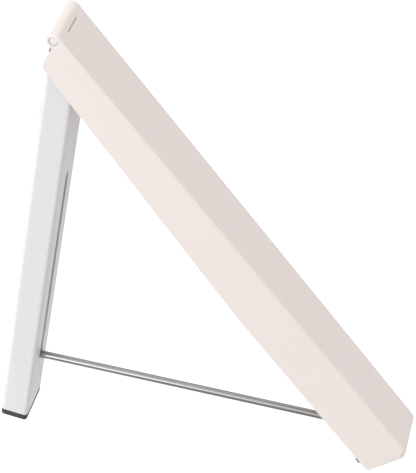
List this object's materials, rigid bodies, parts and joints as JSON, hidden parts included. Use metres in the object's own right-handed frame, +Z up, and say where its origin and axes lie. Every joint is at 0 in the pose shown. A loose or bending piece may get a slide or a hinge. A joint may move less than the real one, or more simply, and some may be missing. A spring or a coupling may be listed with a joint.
{
  "type": "wall mounted fold down drying rack",
  "caption": "Slim wall rack: a tapered arm folds down from a slotted wall channel, and a steel rod from a sliding block props it open to hang clothes on.",
  "frame": {"origin": "centre of the upper wall pad's wall face", "axes": "+X out from the wall, +Y across the rack, +Z up along the channel"},
  "size_m": [0.2682, 0.0392, 0.3199],
  "materials": {
    "channel_metal": "satin anodised, light grey",
    "end_plastic": "black, fine grain",
    "pad": "off-white foam pad",
    "steel": "stainless, drawn bar",
    "nylon": "natural white nylon",
    "arm_plastic": "satin moulded plastic, pale blush",
    "rubber": "black rubber"
  },
  "bodies": {
    "wall_channel": {"channel": "channel_metal", "hinge_block": "end_plastic", "bottom_cap": "end_plastic", "wall_pad_upper": "pad", "wall_pad_lower": "pad", "hinge_pin": "steel", "hinge_washer_near": "nylon", "hinge_washer_far": "nylon"},
    "arm": {"arm_shell": "arm_plastic", "ear_pin": "nylon", "bumper_near": "rubber", "bumper_far": "rubber", "rod_pivot_pin": "steel", "pivot_clip": "steel", "pivot_washer_near": "nylon", "pivot_washer_far": "nylon"},
    "rod": {"rod": "steel", "rod_knuckle": "nylon"},
    "slider": {"slider": "nylon", "pivot_screw_near": "steel", "pivot_screw_far": "steel"}
  },
  "joints": [
    {"name": "arm_fold", "type": "hinge", "parent": "wall_channel", "child": "arm", "pos_m": [0.0099, 0, 0.0424], "axis": [0, 1, 0], "range_deg": [0, 43.9]},
    {"name": "rod_swing", "type": "hinge", "parent": "arm", "child": "rod", "pos_m": [0.25501, 0, -0.18288], "axis": [0, 1, 0], "range_deg": [0, 48.08]},
    {"name": "slider_slide", "type": "slide", "parent": "wall_channel", "child": "slider", "axis": [0, 0, 1], "range_m": [0, 0.1581]}
  ],
  "couplings": [
    {"joint": "rod_swing", "follows": "arm_fold", "ratio": 1.0951},
    {"joint": "slider_slide", "follows": "arm_fold", "m_per_rad": 0.20632}
  ]
}
